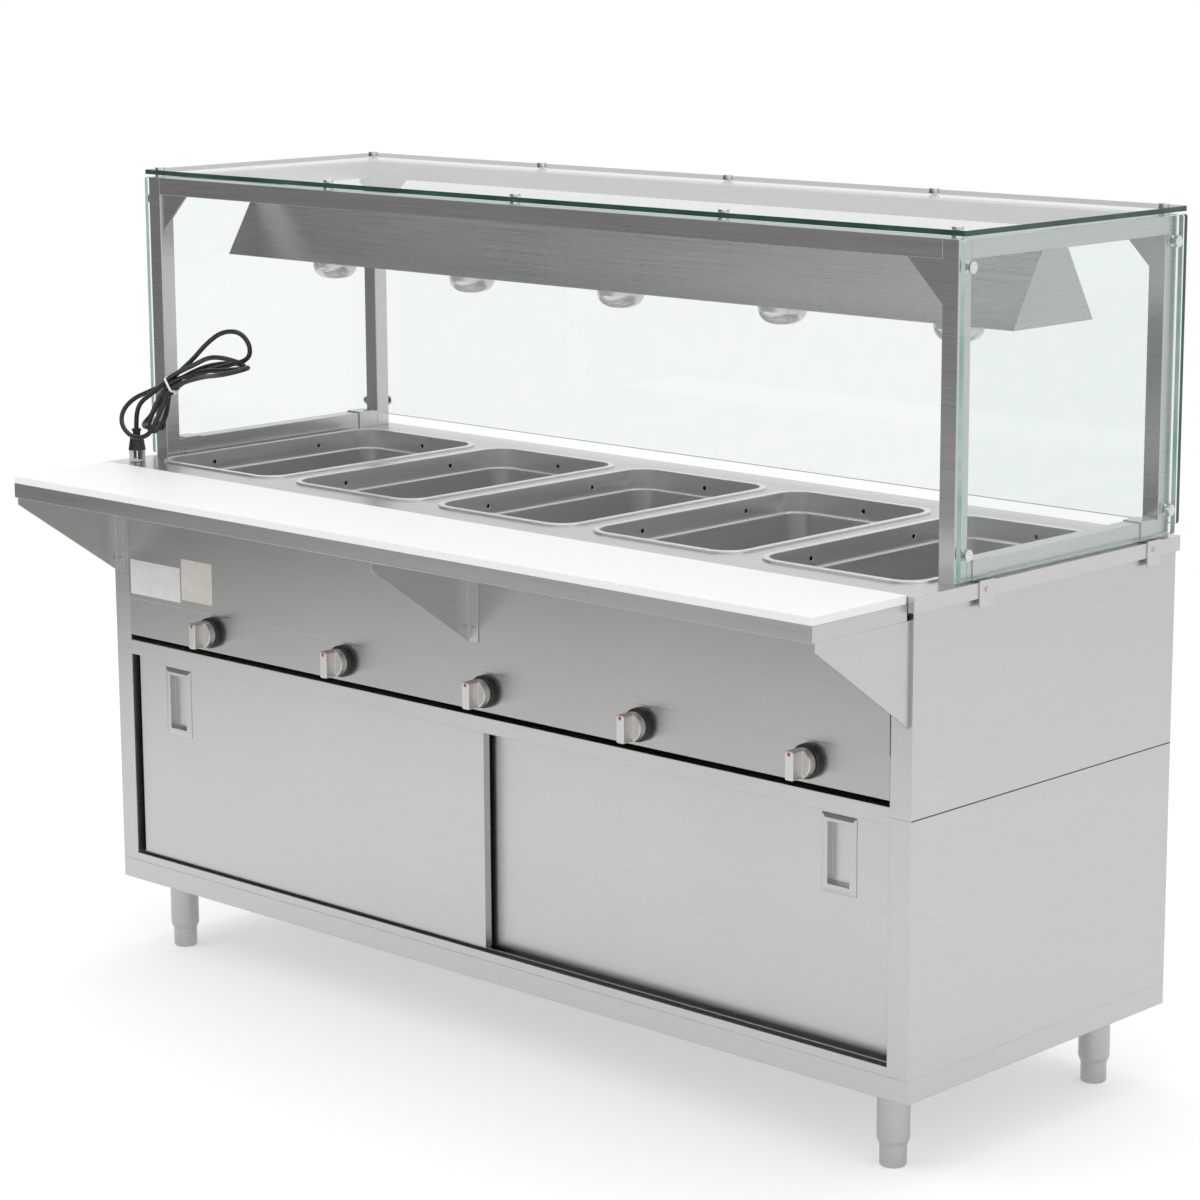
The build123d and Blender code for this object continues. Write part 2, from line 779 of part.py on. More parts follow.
# Standoffs: spacer, stem through the glass and round cap, at each place along a normal
glass_half = frame_half_length + glass_gap + glass_thickness
top_rows = (frame_front_y + tube / 2, frame_back_y - tube / 2)
top_standoff_pitch = 2 * (frame_half_length - tube / 2) / (top_standoffs_per_row - 1)
top_standoff_x = centred(top_standoffs_per_row, top_standoff_pitch)
end_heights = (frame_top - standoff_top_drop, counter_height + standoff_bottom_rise)
hole_radius = standoff_stem / 2 + standoff_clearance


def standoff_axes(which):
    """Planes on the frame's faces where standoffs stand, with their gap to the glass."""
    if which == "top":
        return [
            (Plane((x, y, frame_top), x_dir=(1, 0, 0), z_dir=(0, 0, 1)), top_glass_gap)
            for x in top_standoff_x
            for y in top_rows
        ]
    if which == "back":
        return [
            (Plane((side * (frame_half_length - tube / 2), frame_back_y, z), x_dir=(1, 0, 0), z_dir=(0, 1, 0)),
             glass_gap)
            for side in (-1, 1)
            for z in end_heights
        ]
    side = -1 if which == "left" else 1
    return [
        (Plane((side * frame_half_length, y, z), x_dir=(0, 1, 0), z_dir=(side, 0, 0)), glass_gap)
        for y in top_rows
        for z in end_heights
    ]


with BuildPart() as standoffs:
    for which in ("top", "back", "left", "right"):
        for plane, gap in standoff_axes(which):
            with BuildSketch(plane):
                Circle(standoff_diameter / 2)
            extrude(amount=gap)
            with BuildSketch(plane.offset(gap)):
                Circle(standoff_stem / 2)
            extrude(amount=glass_thickness)
            with BuildSketch(plane.offset(gap + glass_thickness)):
                Circle(standoff_diameter / 2)
            extrude(amount=standoff_cap)
save(standoffs.part, "glass_standoffs")


def glass_sheet(x0, x1, y0, y1, z0, z1, axis, which, name):
    """A glass pane with ground corners and its standoff holes."""
    with BuildPart() as pane:
        block(x0, x1, y0, y1, z0, z1)
        fillet(pane.edges().filter_by(axis), radius=glass_corner)
        for plane, gap in standoff_axes(which):
            with BuildSketch(plane.offset(gap)):
                Circle(hole_radius)
            extrude(amount=glass_thickness, mode=Mode.SUBTRACT)
    save(pane.part, name)


top_glass_z = frame_top + top_glass_gap
back_glass_y = frame_back_y + glass_gap
end_glass_x = frame_half_length + glass_gap
glass_sheet(
    -glass_half, glass_half, frame_front_y, back_glass_y + glass_thickness,
    top_glass_z, top_glass_z + glass_thickness, Axis.Z, "top", "top_glass",
)
glass_sheet(
    -glass_half, glass_half, back_glass_y, back_glass_y + glass_thickness,
    counter_height + back_glass_lift, frame_top, Axis.Y, "back", "back_glass",
)
for side, word in ((-1, "left"), (1, "right")):
    x0, x1 = sorted((side * end_glass_x, side * (end_glass_x + glass_thickness)))
    glass_sheet(
        x0, x1, frame_front_y, frame_back_y,
        counter_height + end_glass_lift, frame_top, Axis.X, word, f"end_glass_{word}",
    )

# Straps: bent over the bottom rail, out under the glass and down over the counter's lip
strap_spots = (
    frame_front_y + tube + strap_from_post,
    frame_back_y - tube - strap_from_post - strap_width,
)
strap_bottom = counter_height - strap_drop
jog_z = counter_height + lip_gap
screw_z = (strap_bottom + counter_height - counter_lip) / 2
with BuildPart() as straps:
    for side in (-1, 1):
        inner = post_inner - strap_thickness
        rail_out = frame_half_length
        for y in strap_spots:
            with BuildSketch(Plane.XZ.offset(-y - strap_width)):
                with BuildLine():
                    Polyline(
                        (side * inner, counter_height),
                        (side * inner, counter_height + tube + strap_thickness),
                        (side * (rail_out + strap_thickness), counter_height + tube + strap_thickness),
                        (side * (rail_out + strap_thickness), jog_z + strap_thickness),
                        (side * (counter_half + strap_thickness), jog_z + strap_thickness),
                        (side * (counter_half + strap_thickness), strap_bottom),
                        (side * counter_half, strap_bottom),
                        (side * counter_half, jog_z),
                        (side * rail_out, jog_z),
                        (side * rail_out, counter_height + tube),
                        (side * post_inner, counter_height + tube),
                        (side * post_inner, counter_height),
                        close=True,
                    )
                make_face()
            extrude(amount=strap_width)
            face_plane = Plane(
                (side * (counter_half + strap_thickness), y + strap_width / 2, counter_height - counter_lip / 2),
                x_dir=(0, 1, 0), z_dir=(side, 0, 0),
            )
            with BuildSketch(face_plane):
                Circle(strap_screw_diameter / 2)
            extrude(amount=strap_screw_head)
save(straps.part, "frame_straps")

# Heat lamp hood: an open-bottomed trapezoid channel with closed ends under the end rails
hood_top = rail_z
hood_bottom = hood_top - hood_height
hood_middle_y = front_y + hood_front_inset + hood_bottom_width / 2
with BuildPart() as hood:
    with BuildSketch(Plane.YZ.offset(-hood_half_length)):
        with BuildLine():
            Polyline(
                (hood_middle_y - hood_bottom_width / 2, hood_bottom),
                (hood_middle_y + hood_bottom_width / 2, hood_bottom),
                (hood_middle_y + hood_top_width / 2, hood_top),
                (hood_middle_y - hood_top_width / 2, hood_top),
                close=True,
            )
        make_face()
    extrude(amount=2 * hood_half_length)
    offset(amount=-sheet, openings=hood.faces().sort_by(Axis.Z)[0])
save(hood.part, "lamp_hood")

# Lamp sockets under the hood's top and the bulbs screwed into them
lamp_x = centred(lamp_count, lamp_pitch)
socket_top = hood_top - sheet
with BuildPart() as sockets:
    for x in lamp_x:
        with Locations((x, hood_middle_y, socket_top - socket_height / 2)):
            Cylinder(socket_diameter / 2, socket_height)
        with Locations((x, hood_middle_y, socket_top - socket_height / 2 - socket_wall)):
            Cylinder(bulb_neck / 2 + bulb_fit, socket_height, mode=Mode.SUBTRACT)
save(sockets.part, "lamp_sockets")

bulb_bottom = hood_bottom - bulb_drop
with BuildPart() as bulbs:
    for x in lamp_x:
        with BuildSketch(Plane(origin=(x, hood_middle_y, bulb_bottom), x_dir=(1, 0, 0), z_dir=(0, -1, 0))):
            with BuildLine():
                bottom = Line((0, 0), (bulb_diameter / 10, 0))
                crown = Bezier(
                    bottom @ 1, (bulb_diameter * 0.42, 0), (bulb_diameter / 2, bulb_crown * 0.6),
                    (bulb_diameter / 2, bulb_crown),
                )
                flank = Bezier(
                    crown @ 1, (bulb_diameter / 2, bulb_length * 0.5), (bulb_neck / 2, bulb_length * 0.5),
                    (bulb_neck / 2, bulb_length * 0.8),
                )
                neck = Line(flank @ 1, (bulb_neck / 2, bulb_length))
                top = Line(neck @ 1, (0, bulb_length))
                Line(top @ 1, bottom @ 0)
            make_face()
        revolve(axis=Axis((x, hood_middle_y, bulb_bottom), (0, 0, 1)))
save(bulbs.part, "heat_bulbs")

# Power cord: one route, cut in the tie into its two free ends and the folded hank between them
route = [Vector(x, front_y + y, z) for x, y, z in cord_route]
tie_corners = (first_tie_corner, first_tie_corner + 1, last_tie_corner, last_tie_corner + 1)


def corner_radius(i):
    """Radius of the arc at one corner, from the shorter of its two runs and its turn."""
    before, after = route[i] - route[i - 1], route[i + 1] - route[i]
    half_turn = math.radians(before.get_angle(after)) / 2
    share = tie_arc_share if i in tie_corners else cord_arc_share
    return share * min(before.length, after.length) / math.tan(half_turn)


radii = [corner_radius(i) for i in range(1, len(route) - 1)]
first_cut = (route[first_tie_corner] + route[first_tie_corner + 1]) / 2
last_cut = (route[last_tie_corner] + route[last_tie_corner + 1]) / 2
stretches = {
    "out": (route[: first_tie_corner + 1] + [first_cut], radii[:first_tie_corner]),
    "hank": (
        [first_cut] + route[first_tie_corner + 1 : last_tie_corner + 1] + [last_cut],
        radii[first_tie_corner:last_tie_corner],
    ),
    "end": ([last_cut] + route[last_tie_corner + 1 :], radii[last_tie_corner:]),
}
samples = []
for name, (points, bends) in stretches.items():
    with BuildPart() as stretch:
        with BuildLine() as stretch_line:
            path = FilletPolyline(*points, radius=bends)
        with BuildSketch(Plane(path @ 0, z_dir=path % 0)):
            Circle(cord_diameter / 2)
        sweep(path=path)
    steps = int(path.length / (cord_diameter / 3))
    samples += [path @ (k / steps) for k in range(steps + 1)]
    stretches[name] = stretch.part
save(stretches["hank"], "cord_hank")
save(Compound(children=[stretches["out"], stretches["end"]]), "power_cord")

runs = [0.0]
for a, b in zip(samples, samples[1:]):
    runs.append(runs[-1] + (b - a).length)
least_gap = min(
    (samples[i] - samples[j]).length
    for i in range(len(samples))
    for j in range(i + 1, len(samples))
    if runs[j] - runs[i] > 4 * cord_diameter
) - cord_diameter
print("cord length", round(runs[-1]), "least radius", round(min(radii), 1), "least gap", round(least_gap, 2))
print("cord radii", [round(r) for r in radii])

# Strain relief where the cord leaves the post
with BuildPart() as grommet:
    with BuildSketch(Plane.XZ.offset(-frame_front_y)):
        with Locations((route[0].X, route[0].Z)):
            Circle(grommet_diameter / 2)
    extrude(amount=grommet_flange)
    with BuildSketch(Plane.XZ.offset(-frame_front_y + grommet_flange)):
        with Locations((route[0].X, route[0].Z)):
            Circle(grommet_diameter / 2 - sheet)
    with BuildSketch(Plane.XZ.offset(-frame_front_y + grommet_nose)):
        with Locations((route[0].X, route[0].Z)):
            Circle(cord_diameter / 2 + sheet / 2)
    loft()
save(grommet.part, "cord_grommet")

# Tie: a flat band round the six strands, with its lock at one end
tie_plane = Plane(
    (tie_middle[0], front_y + tie_middle[1], tie_middle[2]), x_dir=tie_across, z_dir=tie_along
).offset(-tie_width / 2)
band_half = strand_pitch + cord_diameter / 2 + tie_clearance
band_depth = strand_pitch / 2 + cord_diameter / 2 + tie_clearance
band_corner = cord_diameter / 2 + tie_clearance
with BuildPart() as tie:
    with BuildSketch(tie_plane):
        RectangleRounded(
            2 * (band_half + tie_thickness), 2 * (band_depth + tie_thickness), band_corner + tie_thickness
        )
        with Locations((-band_half - tie_head / 2, 0)):
            Rectangle(tie_head, tie_head)
        RectangleRounded(2 * band_half, 2 * band_depth, band_corner, mode=Mode.SUBTRACT)
    extrude(amount=tie_width)
save(tie.part, "cord_tie")

# Plug, standing on its prongs in the clear cover on the counter
plug_y = front_y + plug_inset
with BuildPart() as plug:
    with BuildSketch(Plane.XY.offset(plug_base)):
        with Locations((plug_x, plug_y)):
            Circle(plug_base_diameter / 2)
    with BuildSketch(Plane.XY.offset(plug_neck_bottom)):
        with Locations((plug_x, plug_y)):
            Circle(plug_shoulder_diameter / 2)
    loft()
    with BuildSketch(Plane.XY.offset(plug_neck_bottom)):
        with Locations((plug_x, plug_y)):
            Circle(plug_neck_diameter / 2)
    extrude(amount=plug_top - plug_neck_bottom)
    with BuildSketch(Plane.XY.offset(plug_top - plug_lip)):
        with Locations((plug_x, plug_y)):
            Circle(plug_lip_diameter / 2)
    extrude(amount=plug_lip)
    for dx in (-prong_gap / 2, prong_gap / 2):
        x = plug_x + dx
        block(
            x - prong_thickness / 2, x + prong_thickness / 2,
            plug_y - prong_width / 2, plug_y + prong_width / 2,
            plug_base - prong_length, plug_base,
        )
    with BuildSketch(Plane.XY.offset(plug_base)):
        with Locations((plug_x, plug_y + ground_pin_offset)):
            Circle(ground_pin_diameter / 2)
    extrude(amount=-ground_pin_length)
save(plug.part, "cord_plug")

with BuildPart() as cover:
    with BuildSketch(Plane.XY.offset(counter_height)):
        with Locations((plug_x, plug_y)):
            Circle(cover_diameter / 2)
    extrude(amount=plug_base - counter_height)
    with BuildSketch(Plane.XY.offset(counter_height + cover_floor)):
        with Locations((plug_x, plug_y)):
            Circle(cover_diameter / 2 - cover_wall)
    extrude(amount=plug_base - counter_height, mode=Mode.SUBTRACT)
save(cover.part, "plug_cover")
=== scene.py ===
import json
import math

import bmesh
import bpy
from mathutils import Matrix, Vector


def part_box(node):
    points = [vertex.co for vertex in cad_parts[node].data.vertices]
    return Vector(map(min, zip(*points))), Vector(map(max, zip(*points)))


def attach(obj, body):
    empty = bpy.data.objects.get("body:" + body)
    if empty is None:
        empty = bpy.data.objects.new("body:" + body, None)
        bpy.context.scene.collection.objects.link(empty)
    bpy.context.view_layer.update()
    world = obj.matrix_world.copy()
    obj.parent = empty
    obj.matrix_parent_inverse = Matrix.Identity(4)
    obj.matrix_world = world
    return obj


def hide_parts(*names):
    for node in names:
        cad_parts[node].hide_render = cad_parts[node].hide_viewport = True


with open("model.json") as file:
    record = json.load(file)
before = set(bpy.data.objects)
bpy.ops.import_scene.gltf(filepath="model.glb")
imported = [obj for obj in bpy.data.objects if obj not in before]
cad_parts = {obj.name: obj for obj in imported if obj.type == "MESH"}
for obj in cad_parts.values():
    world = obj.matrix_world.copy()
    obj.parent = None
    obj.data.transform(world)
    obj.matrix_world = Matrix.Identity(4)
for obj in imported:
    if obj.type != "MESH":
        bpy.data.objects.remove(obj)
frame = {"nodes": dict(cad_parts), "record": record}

nodes = frame["nodes"]
scene = bpy.context.scene

# The cabinet's front plane, from which the camera's distance was worked out, in metres
frontPlane = -0.221


def saveSize():
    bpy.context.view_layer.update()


saveSize()

# Camera: worked out from straight edges of the photograph
cameraLook = {
    "place": (3.899, -3.793 + frontPlane, 1.866),
    "yaw": -43.552,
    "pitch": 11.404,
    "roll": -0.282,
    "focalPixels": 3420.0,
    "photoPixels": 1200.0,
    "sensor": 36.0,
    "nearest": 0.1,
    "furthest": 60.0,
}


def makeCamera(look):
    yaw, pitch, roll = (math.radians(look[k]) for k in ("yaw", "pitch", "roll"))
    forward = Vector((math.sin(yaw) * math.cos(pitch), math.cos(yaw) * math.cos(pitch), -math.sin(pitch)))
    right = Vector((math.cos(yaw), -math.sin(yaw), 0.0))
    up = right.cross(forward)
    rolledRight = math.cos(roll) * right + math.sin(roll) * up
    rolledUp = -math.sin(roll) * right + math.cos(roll) * up
    data = bpy.data.cameras.new("photoCamera")
    data.sensor_width = look["sensor"]
    data.lens = look["focalPixels"] / look["photoPixels"] * look["sensor"]
    data.clip_start, data.clip_end = look["nearest"], look["furthest"]
    camera = bpy.data.objects.new("photoCamera", data)
    scene.collection.objects.link(camera)
    turned = Matrix((rolledRight, rolledUp, -forward)).transposed().to_4x4()
    camera.matrix_world = Matrix.Translation(look["place"]) @ turned
    scene.camera = camera


makeCamera(cameraLook)
print("camera made")

# Node helpers


def newMaterial(name):
    made = bpy.data.materials.new(name)
    made.use_nodes = True
    made.node_tree.nodes.clear()
    return made, made.node_tree


def addNode(tree, kind, **values):
    node = tree.nodes.new(kind)
    for key, value in values.items():
        if key == "inputs":
            for name, setting in value.items():
                node.inputs[name].default_value = setting
        else:
            setattr(node, key, value)
    return node


def mathNode(tree, operation, first, second=None):
    node = tree.nodes.new("ShaderNodeMath")
    node.operation = operation
    for slot, value in enumerate((first, second)):
        if value is None:
            continue
        if isinstance(value, (int, float)):
            node.inputs[slot].default_value = value
        else:
            tree.links.new(value, node.inputs[slot])
    return node.outputs[0]


def mapRange(tree, value, low, high, newLow, newHigh):
    node = tree.nodes.new("ShaderNodeMapRange")
    tree.links.new(value, node.inputs["Value"])
    node.inputs["From Min"].default_value = low
    node.inputs["From Max"].default_value = high
    node.inputs["To Min"].default_value = newLow
    node.inputs["To Max"].default_value = newHigh
    return node.outputs["Result"]


def mixSlots(node):  # the factor and the two colours of a Mix node in colour mode
    return {"factor": node.inputs[0], "first": node.inputs[6], "second": node.inputs[7]}


def grey(value):
    return [value, value, value, 1.0]


def mixColours(tree, factor, first, second):
    node = tree.nodes.new("ShaderNodeMix")
    node.data_type = "RGBA"
    slots = mixSlots(node)
    for socket, value in ((slots["factor"], factor), (slots["first"], first), (slots["second"], second)):
        if isinstance(value, (int, float, tuple, list)):
            socket.default_value = value
        else:
            tree.links.new(value, socket)
    return node.outputs[2]


def groupSocket(group, name, direction, kind, value=None):
    made = group.interface.new_socket(name=name, in_out=direction, socket_type=kind)
    if value is not None:
        made.default_value = value


# Brushed grain shared by all the sheet and tube: lines lie level on upright faces and along X on flat ones
grainLook = {
    "scale": 420.0, "stretch": 2.5, "depth": 0.0002, "foldRadius": 0.001,
    "flatFrom": 0.75, "endShift": 31.0, "detail": 3.0, "roughness": 0.65,
    "smudgeScale": 3.2, "smudgeDetail": 4.0, "smudgeRoughness": 0.55, "strength": 0.35, "foldSamples": 4,
}


def makeBrushedGroup(look):
    group = bpy.data.node_groups.new("brushedGrain", "ShaderNodeTree")
    groupSocket(group, "Grain Scale", "INPUT", "NodeSocketFloat", look["scale"])
    groupSocket(group, "Stretch", "INPUT", "NodeSocketFloat", look["stretch"])
    groupSocket(group, "Grain Depth", "INPUT", "NodeSocketFloat", look["depth"])
    groupSocket(group, "Fold Radius", "INPUT", "NodeSocketFloat", look["foldRadius"])
    groupSocket(group, "Grain", "OUTPUT", "NodeSocketFloat")
    groupSocket(group, "Smudge", "OUTPUT", "NodeSocketFloat")
    groupSocket(group, "Normal", "OUTPUT", "NodeSocketVector")
    start = group.nodes.new("NodeGroupInput")
    end = group.nodes.new("NodeGroupOutput")
    coords = group.nodes.new("ShaderNodeTexCoord")
    place = group.nodes.new("ShaderNodeSeparateXYZ")
    group.links.new(coords.outputs["Object"], place.inputs[0])
    facing = group.nodes.new("ShaderNodeSeparateXYZ")
    group.links.new(coords.outputs["Normal"], facing.inputs[0])
    isFlat, isEnd = (
        mathNode(group, "GREATER_THAN", mathNode(group, "ABSOLUTE", facing.outputs[axis]), look["flatFrom"])
        for axis in ("Z", "X")
    )
    grainScale, stretch = start.outputs["Grain Scale"], start.outputs["Stretch"]
    along = mathNode(group, "MULTIPLY", place.outputs["X"], stretch)
    acrossFlat = mathNode(group, "MULTIPLY", place.outputs["Y"], grainScale)
    acrossUpright = mathNode(group, "MULTIPLY", place.outputs["Y"], stretch)
    flatShare = mathNode(group, "MULTIPLY", isFlat, acrossFlat)
    uprightShare = mathNode(group, "MULTIPLY", mathNode(group, "SUBTRACT", 1.0, isFlat), acrossUpright)
    depthShare = mathNode(group, "ADD", flatShare, uprightShare)
    rise = mathNode(group, "MULTIPLY", place.outputs["Z"], grainScale)
    vector = group.nodes.new("ShaderNodeCombineXYZ")
    endShift = mathNode(group, "MULTIPLY", isEnd, look["endShift"])
    group.links.new(mathNode(group, "ADD", along, endShift), vector.inputs["X"])
    group.links.new(depthShare, vector.inputs["Y"])
    group.links.new(rise, vector.inputs["Z"])
    noise = addNode(
        group, "ShaderNodeTexNoise",
        inputs={"Scale": 1.0, "Detail": look["detail"], "Roughness": look["roughness"]},
    )
    group.links.new(vector.outputs[0], noise.inputs["Vector"])
    smudge = addNode(
        group, "ShaderNodeTexNoise",
        inputs={
            "Scale": look["smudgeScale"], "Detail": look["smudgeDetail"],
            "Roughness": look["smudgeRoughness"],
        },
    )
    group.links.new(coords.outputs["Object"], smudge.inputs["Vector"])
    fold = group.nodes.new("ShaderNodeBevel")
    fold.samples = look["foldSamples"]
    group.links.new(start.outputs["Fold Radius"], fold.inputs["Radius"])
    bump = addNode(group, "ShaderNodeBump", inputs={"Strength": look["strength"]})
    group.links.new(fold.outputs["Normal"], bump.inputs["Normal"])
    group.links.new(start.outputs["Grain Depth"], bump.inputs["Distance"])
    group.links.new(noise.outputs["Fac"], bump.inputs["Height"])
    group.links.new(noise.outputs["Fac"], end.inputs["Grain"])
    group.links.new(smudge.outputs["Fac"], end.inputs["Smudge"])
    group.links.new(bump.outputs["Normal"], end.inputs["Normal"])
    return group


brushedGroup = makeBrushedGroup(grainLook)


# Seam: a painted shade line on both ends where the upper box stands flush on the lower cabinet, standing in
# for the shadow in the gap there
seamShadeLook = {"height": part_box("side_panel_right")[1][2], "half": 0.0011, "dark": 0.1, "endFrom": 0.9}


def seamShadeShare(tree, look):
    coords = tree.nodes.new("ShaderNodeTexCoord")
    place = tree.nodes.new("ShaderNodeSeparateXYZ")
    tree.links.new(coords.outputs["Object"], place.inputs[0])
    facing = tree.nodes.new("ShaderNodeSeparateXYZ")
    tree.links.new(coords.outputs["Normal"], facing.inputs[0])
    away = mathNode(tree, "ABSOLUTE", mathNode(tree, "SUBTRACT", place.outputs["Z"], look["height"]))
    near = mathNode(tree, "LESS_THAN", away, look["half"])
    onEnd = mathNode(tree, "GREATER_THAN", mathNode(tree, "ABSOLUTE", facing.outputs["X"]), look["endFrom"])
    return mathNode(tree, "MULTIPLY", near, onEnd)


def brushedSteel(name, look):
    material, tree = newMaterial(name)
    grain = tree.nodes.new("ShaderNodeGroup")
    grain.node_tree = brushedGroup
    grain.inputs["Grain Scale"].default_value = look["grainScale"]
    grain.inputs["Stretch"].default_value = look["stretch"]
    grain.inputs["Grain Depth"].default_value = look["grainDepth"]
    grain.inputs["Fold Radius"].default_value = look["foldRadius"]
    shader = addNode(tree, "ShaderNodeBsdfPrincipled", inputs={"Metallic": look["metallic"]})
    dark = [v * look["grainDark"] for v in look["colour"]] + [1.0]
    light = list(look["colour"]) + [1.0]
    low, high = look["spread"]
    colour = mixColours(tree, mapRange(tree, grain.outputs["Grain"], low, high, 0.0, 1.0), dark, light)
    # Painted shade: the colour goes dark in a thin band along the seam, where shade would fall in the gap
    if look["seam"]:
        colour = mixColours(tree, seamShadeShare(tree, seamShadeLook), colour, grey(seamShadeLook["dark"]))
    tree.links.new(colour, shader.inputs["Base Color"])
    rough = mathNode(
        tree, "ADD",
        mapRange(tree, grain.outputs["Grain"], low, high, look["roughLow"], look["roughHigh"]),
        mapRange(tree, grain.outputs["Smudge"], low, high, -look["smudge"], look["smudge"]),
    )
    tree.links.new(rough, shader.inputs["Roughness"])
    tree.links.new(grain.outputs["Normal"], shader.inputs["Normal"])
    shader.inputs["Anisotropic"].default_value = look["anisotropy"]
    out = tree.nodes.new("ShaderNodeOutputMaterial")
    tree.links.new(shader.outputs[0], out.inputs["Surface"])
    return material


steelBase = {
    "colour": (0.62, 0.62, 0.61), "grainDark": 0.93, "metallic": 1.0,
    "grainScale": 900.0, "stretch": 3.0, "grainDepth": 0.00004,
    "roughLow": 0.27, "roughHigh": 0.36, "smudge": 0.015, "anisotropy": 0.3,
    "foldRadius": 0.0016, "seam": False, "spread": (0.3, 0.7),
}
steelLooks = {
    "cabinetSteel": {"colour": (0.56, 0.56, 0.548), "seam": True},
    # A darker copy of the same stainless for the control panel: painted shade for the shadow the tray shelf
    # above casts on it
    "shadedPanelSteel": {"colour": (0.46, 0.46, 0.45)},
    "counterSteel": {"colour": (0.6, 0.6, 0.59), "roughLow": 0.24, "roughHigh": 0.32},
    # A paler copy of the same stainless for the wells: painted light that lifts the shade inside them
    "litWellSteel": {"colour": (0.8, 0.8, 0.79), "grainScale": 500.0, "roughLow": 0.3, "roughHigh": 0.38},
    "hoodSteel": {"colour": (0.52, 0.52, 0.512), "roughLow": 0.25, "roughHigh": 0.33},
    "frameSteel": {"colour": (0.6, 0.6, 0.59), "roughLow": 0.26, "roughHigh": 0.36},
    "legSteel": {"colour": (0.48, 0.48, 0.472), "roughLow": 0.25, "roughHigh": 0.34},
    "knobSteel": {"colour": (0.66, 0.65, 0.63), "grainScale": 2200.0, "roughLow": 0.28, "roughHigh": 0.36},
}
steels = {name: brushedSteel(name, {**steelBase, **change}) for name, change in steelLooks.items()}

# Moulded and plain finishes: a slight change of colour and sheen, drawn from the middle of the noise's range
mouldedShared = {"detail": 3.0, "spread": (0.35, 0.65)}


def moulded(name, look):
    material, tree = newMaterial(name)
    coords = tree.nodes.new("ShaderNodeTexCoord")
    noise = addNode(
        tree, "ShaderNodeTexNoise", inputs={"Scale": look["scale"], "Detail": mouldedShared["detail"]}
    )
    tree.links.new(coords.outputs["Object"], noise.inputs["Vector"])
    shader = tree.nodes.new("ShaderNodeBsdfPrincipled")
    spread = mouldedShared["spread"]
    colour = mixColours(
        tree, mapRange(tree, noise.outputs["Fac"], *spread, 0.0, 1.0),
        list(look["dark"]) + [1.0], list(look["light"]) + [1.0],
    )
    tree.links.new(colour, shader.inputs["Base Color"])
    tree.links.new(
        mapRange(tree, noise.outputs["Fac"], *spread, look["roughLow"], look["roughHigh"]),
        shader.inputs["Roughness"],
    )
    bump = addNode(tree, "ShaderNodeBump", inputs={"Strength": look["bump"], "Distance": look["bumpDepth"]})
    tree.links.new(noise.outputs["Fac"], bump.inputs["Height"])
    tree.links.new(bump.outputs["Normal"], shader.inputs["Normal"])
    shader.inputs["Metallic"].default_value = look.get("metallic", 0.0)
    out = tree.nodes.new("ShaderNodeOutputMaterial")
    tree.links.new(shader.outputs[0], out.inputs["Surface"])
    return material


mouldedLooks = {
    "boardPlastic": {"dark": (0.86, 0.86, 0.86), "light": (0.93, 0.93, 0.93), "scale": 700.0,
                     "roughLow": 0.42, "roughHigh": 0.55, "bump": 0.25, "bumpDepth": 0.0001},
    "blackPlastic": {"dark": (0.006, 0.006, 0.006), "light": (0.014, 0.014, 0.014), "scale": 500.0,
                     "roughLow": 0.28, "roughHigh": 0.4, "bump": 0.1, "bumpDepth": 0.0001},
    "cordRubber": {"dark": (0.008, 0.008, 0.008), "light": (0.018, 0.018, 0.018), "scale": 350.0,
                   "roughLow": 0.3, "roughHigh": 0.42, "bump": 0.15, "bumpDepth": 0.0001},
    "whiteCeramic": {"dark": (0.78, 0.78, 0.76), "light": (0.86, 0.86, 0.84), "scale": 90.0,
                     "roughLow": 0.15, "roughHigh": 0.25, "bump": 0.05, "bumpDepth": 0.0001},
    "elementSheath": {"dark": (0.16, 0.15, 0.14), "light": (0.27, 0.26, 0.25), "scale": 160.0,
                      "roughLow": 0.35, "roughHigh": 0.55, "bump": 0.1, "bumpDepth": 0.0001,
                      "metallic": 1.0},
    "standoffMetal": {"dark": (0.62, 0.62, 0.62), "light": (0.72, 0.72, 0.72), "scale": 300.0,
                      "roughLow": 0.12, "roughHigh": 0.22, "bump": 0.05, "bumpDepth": 0.0001,
                      "metallic": 1.0},
    "tiePlastic": {"dark": (0.82, 0.82, 0.8), "light": (0.9, 0.9, 0.88), "scale": 200.0,
                   "roughLow": 0.25, "roughHigh": 0.35, "bump": 0.05, "bumpDepth": 0.0001},
    "redDot": {"dark": (0.42, 0.03, 0.02), "light": (0.55, 0.05, 0.035), "scale": 900.0,
               "roughLow": 0.3, "roughHigh": 0.4, "bump": 0.05, "bumpDepth": 0.0001},
    "whiteFilm": {"dark": (0.74, 0.74, 0.73), "light": (0.8, 0.8, 0.79), "scale": 60.0,
                  "roughLow": 0.35, "roughHigh": 0.45, "bump": 0.02, "bumpDepth": 0.0001},
    "creamFilm": {"dark": (0.66, 0.64, 0.57), "light": (0.72, 0.7, 0.63), "scale": 60.0,
                  "roughLow": 0.35, "roughHigh": 0.45, "bump": 0.02, "bumpDepth": 0.0001},
}
plain = {name: moulded(name, look) for name, look in mouldedLooks.items()}

# Glass: clear faces that reflect more at a slant; the edges keep the glass's green, with painted shade
# making them deep green on the top and back panes and painted light making them pale on the ends
glassLook = {
    "tint": (0.955, 0.975, 0.968), "ior": 1.5, "shine": 1.0, "faceRough": 0.01, "edgeRough": 0.12,
    "wave": 26.0, "waveDetail": 2.0, "waveSpread": (0.3, 0.7), "waveShare": 0.2,
    "edgeNoise": 14.0, "edgeDetail": 3.0, "edgeSpread": (0.35, 0.7), "faceFrom": 0.7,
}
